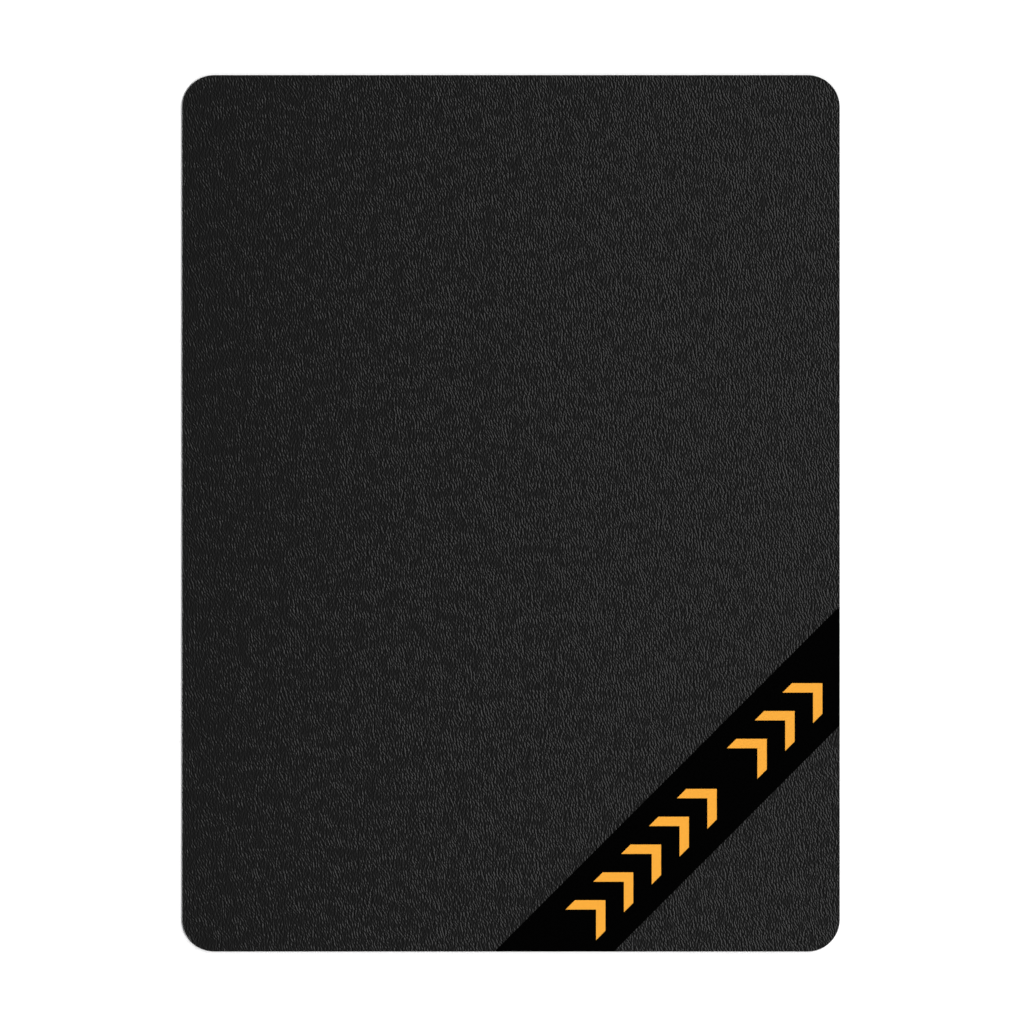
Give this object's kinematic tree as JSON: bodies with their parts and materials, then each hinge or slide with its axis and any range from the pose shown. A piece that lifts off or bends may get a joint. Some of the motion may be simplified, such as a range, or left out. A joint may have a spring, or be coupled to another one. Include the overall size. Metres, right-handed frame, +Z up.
{
  "type": "chair mat",
  "caption": "Flat laminated vinyl floor mat with round corners, an embossed top, and a smooth band with inlaid chevrons across one corner.",
  "frame": {"origin": "under the middle of the mat, on the plane of its underside", "axes": "+Z up, out of the embossed top; +Y along the 1219 mm length to the far end; +X along the 914 mm width to the right; the band crosses the corner at +X, -Y"},
  "size_m": [0.9144, 1.2192, 0.0025],
  "materials": {
    "wear_vinyl": "satin",
    "core_vinyl": "matte",
    "glass_fleece": "matte",
    "backing_vinyl": "matte",
    "adhesive": "satin",
    "black_film": "matte",
    "amber_film": "satin"
  },
  "bodies": {
    "root": {"backing_sheet": "backing_vinyl", "core_sheet": "core_vinyl", "fleece": "glass_fleece", "wear_sheet": "wear_vinyl", "band_adhesive": "adhesive", "band_film": "black_film", "chevron_1": "amber_film", "chevron_2": "amber_film", "chevron_3": "amber_film", "chevron_4": "amber_film", "chevron_5": "amber_film", "chevron_6": "amber_film", "chevron_7": "amber_film", "chevron_8": "amber_film"}
  },
  "joints": []
}
